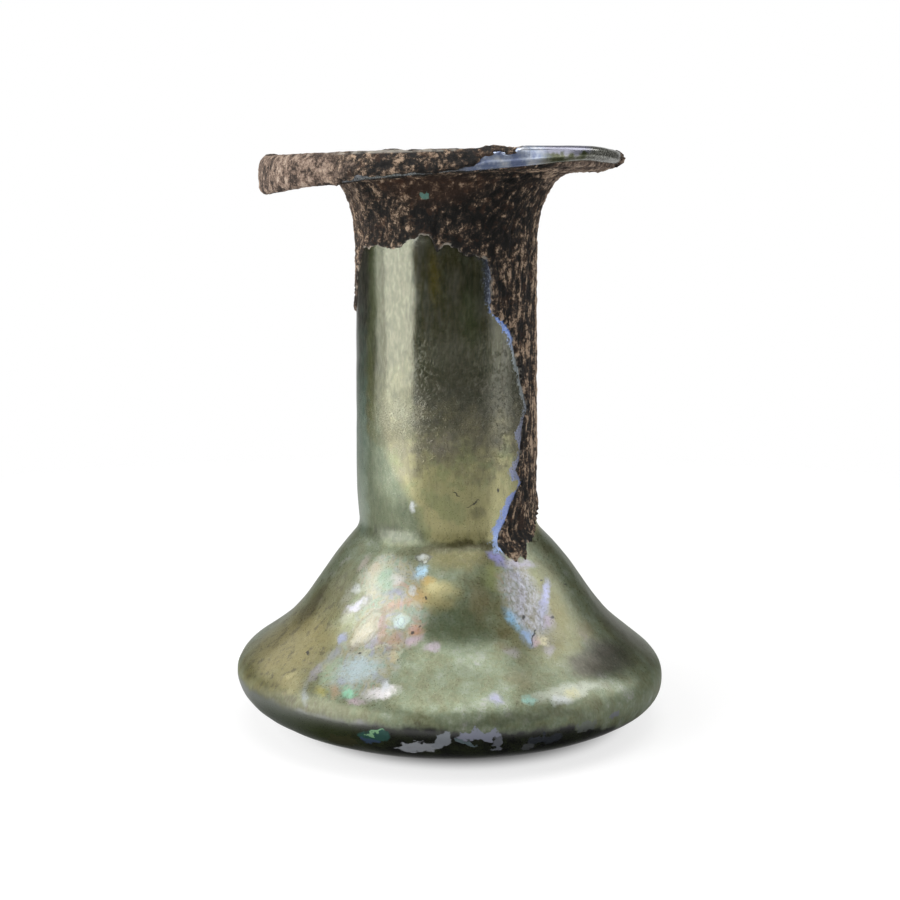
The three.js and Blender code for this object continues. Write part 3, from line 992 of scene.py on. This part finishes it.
def burial_crust():
    """Brown-black crust with tan grains, rust and lime, tan all over on the left of the rim, and a painted
    highlight along the rim's top edge.
    """
    finish = Finish("burial_crust")
    across, _, height = finish.apart(finish.place())
    raised = finish.attribute("raised")
    blotch = finish.noise(0.3, 4, 0.6)
    clumps = finish.noise(0.9, 5, 0.65, move=(2, 8, 3))
    bark = finish.noise(1.3, 4, 0.65, stretch=(1, 1, 0.25), move=(7, 1, 3))
    specks = finish.noise(2.7, 6, 0.74, move=(5, 2, 8), warp=0.4)
    fine = finish.noise(6.5, 4, 0.7)
    on_strip = finish.rise(height, 80, 70)
    light = specks * 0.5 + fine * 0.15 + clumps * 0.35 + (raised - 0.5) * 0.22 + (blotch - 0.5) * 0.3
    light = light + (bark - 0.5) * on_strip * 0.5
    dark_front = finish.rise(nearness(finish, finish.place(), -72, 79, (10, 8)), 0.13, 0.73)
    light = light - dark_front * 0.04 + finish.rise(across, 9.5, 14) * 0.02
    light = light - finish.rise(height, 74, 78) * 0.012 - finish.rise(height, 35, 31) * 0.03
    colour = finish.ramp(
        light,
        (0.42, tone(9, 7, 5)),
        (0.465, tone(26, 20, 15)),
        (0.505, tone(52, 42, 32)),
        (0.545, tone(100, 80, 63)),
        (0.6, tone(190, 164, 138)),
    )
    rust = finish.rise(finish.noise(0.5, 4, 0.65, move=(1, 7, 4)), 0.54, 0.66)
    rusty = finish.rise(nearness(finish, finish.place(), -98, 84.5, (9, 3)), 0.13, 0.73)
    colour = finish.mix(rust * 0.25 + rusty * 0.25, colour, tone(96, 58, 30))
    tan = finish.ramp(
        light,
        (0.42, tone(50, 38, 30)),
        (0.48, tone(112, 92, 78)),
        (0.53, tone(148, 126, 110)),
        (0.6, tone(184, 164, 146)),
    )
    tan_left = finish.rise(across + (clumps - 0.5) * 16, -12, -19)
    tan_right = finish.rise(across + (clumps - 0.5) * 10, 13, 18) * finish.rise(height, 89.2, 88.4)
    colour = finish.mix(tan_left + tan_right * 0.6, colour, tan)
    lime = finish.rise(finish.attribute("depth"), 0.5, 0.15) * finish.rise(clumps, 0.46, 0.58)
    lime = lime * finish.rise(height, 84, 80) * (1 - on_strip * 0.6)
    # Painted highlight: a pale line along the top edge of the rim's left part.
    painted_top_highlight = finish.rise(height - across * RIM_SLOPE, 89.3, 89.6) * finish.rise(blotch, 0.42, 0.55)
    strayed = across + (clumps - 0.5) * 24
    painted_top_highlight = painted_top_highlight * finish.rise(strayed, 2, -5) * finish.rise(strayed, -22, -14)
    colour = finish.mix(lime * 0.7 + painted_top_highlight * 0.7, colour, tone(190, 184, 172))
    verdigris = nearness(finish, finish.astray(1.2, 0.8), -102, 83.3, (0.7, 0.6))
    colour = finish.mix(finish.rise(verdigris, 0.27, 0.53) * 0.8, colour, tone(96, 146, 134))
    return finish.wear(
        Base_Color=colour,
        Roughness=0.62 + fine * 0.3,
        Normal=finish.bump(specks * 0.6 + fine * 0.2 + clumps * 0.2, 1.0, 0.6),
    )


crust_run = [p for p in sampled(BODY_CURVES[-1:] + NECK_CURVES, CRUST_SPACING) if p.z > LOWEST_CRUST]
crust_run += sampled(RIM_CURVES + LIP_CURVES, CRUST_SPACING)[1:]
crust_bm = spun(crust_run)
raised_layer = crust_bm.verts.layers.float.new("raised")
depth_layer = crust_bm.verts.layers.float.new("depth")
crust_bm.normal_update()
for vert in crust_bm.verts:
    depth = crust_depth(vert.co)
    vert[depth_layer] = depth
    stand, vert[raised_layer] = crust_relief(vert.co, depth)
    vert.co = (as_blown(vert.co) + vert.normal * stand) * MM
bare_faces = [f for f in crust_bm.faces if all(v[depth_layer] < CRUST_SKIRT for v in f.verts)]
bmesh.ops.delete(crust_bm, geom=bare_faces, context="FACES")
bmesh.ops.solidify(crust_bm, geom=crust_bm.faces[:], thickness=CRUST_UNDERSIDE * MM)
for face in crust_bm.faces:
    face.smooth = True

crust_mesh = bpy.data.meshes.new("burial_crust")
crust_bm.to_mesh(crust_mesh)
crust_bm.free()
crust_mesh.materials.append(burial_crust())
crust = bpy.data.objects.new("burial_crust", crust_mesh)
bpy.context.scene.collection.objects.link(crust)
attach(crust, "root")


# The stage is a plain pale floor in a white surround, under soft studio light. The floor glows a little,
# and its glow is painted dark round the bottle's foot, a painted contact shadow; it fades out far away.
FLOOR_RADIUS = 0.3
FLOOR_GLOW = 0.74
# The painted contact shadow: how far its middle is moved, and the radii over which the glow comes back.
PAINTED_SHADOW_SHIFT = (-1.5, 0, 0)
PAINTED_SHADOW_EDGE = (21, 28)
FADE_OUT = (280, 150)


def studio_floor():
    """Pale and softly glowing, with a painted contact shadow where the glow is dimmed round the bottle, and
    fading out far away.
    """
    pale = tone(150, 150, 150)
    finish = Finish("studio_floor", Roughness=0.9, Base_Color=pale, Emission_Strength=FLOOR_GLOW)
    around = finish.place(move=PAINTED_SHADOW_SHIFT)
    away = finish.node("ShaderNodeVectorMath", {"operation": "LENGTH"}, {0: around}, out=1)
    # Painted shadow: the glow is dimmed to 0.12 near the bottle's foot, more on its right.
    painted_glow = finish.mix(finish.rise(away, *PAINTED_SHADOW_EDGE), (0.12, 0.12, 0.12, 1), (1, 1, 1, 1))
    return finish.wear(Emission_Color=painted_glow, Alpha=finish.rise(away, *FADE_OUT))


floor_bm = bmesh.new()
bmesh.ops.create_circle(floor_bm, cap_ends=True, radius=FLOOR_RADIUS, segments=64)
floor_mesh = bpy.data.meshes.new("studio_floor")
floor_bm.to_mesh(floor_mesh)
floor_bm.free()
floor_mesh.materials.append(studio_floor())
floor = bpy.data.objects.new("studio_floor", floor_mesh)
bpy.context.scene.collection.objects.link(floor)
floor.visible_glossy = False


AIM_HEIGHT = 0.04


def softbox(name, angle, elevation, distance, width, height, radiance):
    """A soft rectangle of light facing the bottle; angle 0 is the camera's side and 90 the right."""
    turn = math.radians(angle)
    lift = math.radians(elevation)
    aim = Vector((0, 0, AIM_HEIGHT))
    away = Vector((math.sin(turn) * math.cos(lift), -math.cos(turn) * math.cos(lift), math.sin(lift)))
    lamp = bpy.data.lights.new(name, "AREA")
    lamp.shape = "RECTANGLE"
    lamp.size = width
    lamp.size_y = height
    lamp.energy = radiance * math.pi * width * height
    box = bpy.data.objects.new(name, lamp)
    box.location = aim + away * distance
    box.rotation_euler = away.to_track_quat("Z", "Y").to_euler()
    bpy.context.scene.collection.objects.link(box)


# Degrees round and up, distance, width, height and radiance
SOFTBOXES = {
    "left_softbox": (-62, 7.6, 0.6, 0.48, 0.38, 4.8),
    "left_side_softbox": (-93, 7.6, 0.6, 0.16, 0.38, 2.4),
    "left_upper_softbox": (-67, 36, 0.6, 0.62, 0.26, 3.4),
    "right_softbox": (73, 14, 0.6, 0.34, 0.6, 1.4),
    "top_softbox": (10, 80, 0.7, 0.55, 0.42, 2.9),
    "back_left_softbox": (-132, 32, 0.6, 0.3, 0.3, 1.1),
    "back_right_softbox": (110, 40, 0.6, 0.26, 0.46, 2.4),
}
for name, placing in SOFTBOXES.items():
    softbox(name, *placing)


def white_surround():
    """White behind the bottle. Its reflections show a pale table, a dark room and a pale ceiling."""
    world = bpy.data.worlds.new("white_surround")
    world.use_nodes = True
    nodes = Nodes(world.node_tree)
    _, away, up = nodes.apart(nodes.node("ShaderNodeTexCoord"))
    room = nodes.ramp(
        up * 0.5 + 0.5,
        (0.12, (0.02, 0.02, 0.02, 1)),
        (0.22, (0.15, 0.15, 0.15, 1)),
        (0.34, (0.7, 0.7, 0.7, 1)),
        (0.4, (0.7, 0.7, 0.7, 1)),
        (0.44, (0.25, 0.25, 0.25, 1)),
        (0.48, (0.06, 0.06, 0.06, 1)),
        (0.82, (0.06, 0.06, 0.06, 1)),
        (0.95, (0.35, 0.35, 0.35, 1)),
    )
    room = nodes.mix(nodes.rise(away, 0.86, 0.95), room, (0.5, 0.5, 0.5, 1))
    seen = nodes.node("ShaderNodeLightPath")
    backdrop = world.node_tree.nodes["Background"].inputs
    nodes.feed(backdrop["Color"], nodes.mix(seen, room, (1, 1, 1, 1)))
    return world


bpy.context.scene.world = white_surround()
bpy.context.scene.view_settings.view_transform = "Standard"

# The camera stands close to the bottle, a little below the rim's height, and looks slightly down.
# Its focal length is in pixels of a square picture.
CAMERA_PLACE = (0, -0.260, 0.0838)
CAMERA_DIP = 8.84
FOCAL_PIXELS = 1656.2
IMAGE_WIDTH = 900
lens = bpy.data.cameras.new("camera")
lens.sensor_width = 36
lens.lens = lens.sensor_width * FOCAL_PIXELS / IMAGE_WIDTH
lens.clip_start = 0.01
camera = bpy.data.objects.new("camera", lens)
camera.location = CAMERA_PLACE
camera.rotation_euler = (math.radians(90 - CAMERA_DIP), 0, 0)
bpy.context.scene.collection.objects.link(camera)
bpy.context.scene.camera = camera
